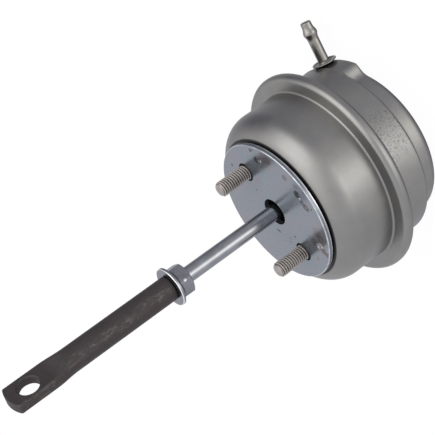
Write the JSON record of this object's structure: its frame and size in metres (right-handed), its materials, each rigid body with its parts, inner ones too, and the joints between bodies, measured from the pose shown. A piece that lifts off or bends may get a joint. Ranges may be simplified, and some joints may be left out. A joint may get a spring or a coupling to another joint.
{
  "type": "wastegate actuator",
  "caption": "Pressure-can actuator: crimped steel shells, round plate with threaded studs, side hose nipple, and a sprung rod with lock nut and a black flattened eye end.",
  "frame": {"origin": "centre of the mounting plate's front face, midway between the studs and on the can's axis", "axes": "+Z along the rod from the plate towards the eye, +X from one stud to the other; the hose nipple points towards -X and a little +Y"},
  "size_m": [0.0928, 0.084, 0.1731],
  "materials": {
    "shell_steel": "satin drawn stainless sheet",
    "plate_steel": "bluish zinc plating with marks",
    "stud_steel": "dull plated thread",
    "inner_steel": "plain pressed sheet",
    "spring_steel": "dark spring wire",
    "diaphragm_rubber": "matt",
    "rod_steel": "bright zinc plating",
    "nut_steel": "bright zinc plating",
    "black_steel": "blackened, dull, rubbed",
    "nipple_steel": "smooth plated tube"
  },
  "bodies": {
    "can": {"front_can": "shell_steel", "rear_can": "shell_steel", "mounting_plate": "plate_steel", "stud_carrier": "inner_steel", "stud_left": "stud_steel", "stud_right": "stud_steel", "spring_seat": "inner_steel", "return_spring": "spring_steel", "diaphragm": "diaphragm_rubber", "hose_nipple": "nipple_steel", "nipple_collar": "nipple_steel"},
    "rod": {"actuator_rod": "rod_steel", "piston": "inner_steel", "retainer": "inner_steel", "rivet_washer": "inner_steel"},
    "nut": {"lock_nut": "nut_steel"},
    "eye": {"rod_end": "black_steel"}
  },
  "joints": [
    {"name": "rod_stroke", "type": "slide", "parent": "can", "child": "rod", "axis": [0, 0, 1], "range_m": [0, 0.01], "stiffness_N_per_m": 8000, "springref_m": -0.019, "deforming": ["return_spring", "diaphragm"]},
    {"name": "nut_turn", "type": "hinge", "parent": "rod", "child": "nut", "pos_m": [0, 0, 0.0468], "axis": [0, 0, 1], "continuous": true},
    {"name": "eye_turn", "type": "hinge", "parent": "rod", "child": "eye", "pos_m": [0, 0, 0.06], "axis": [0, 0, 1], "continuous": true}
  ]
}
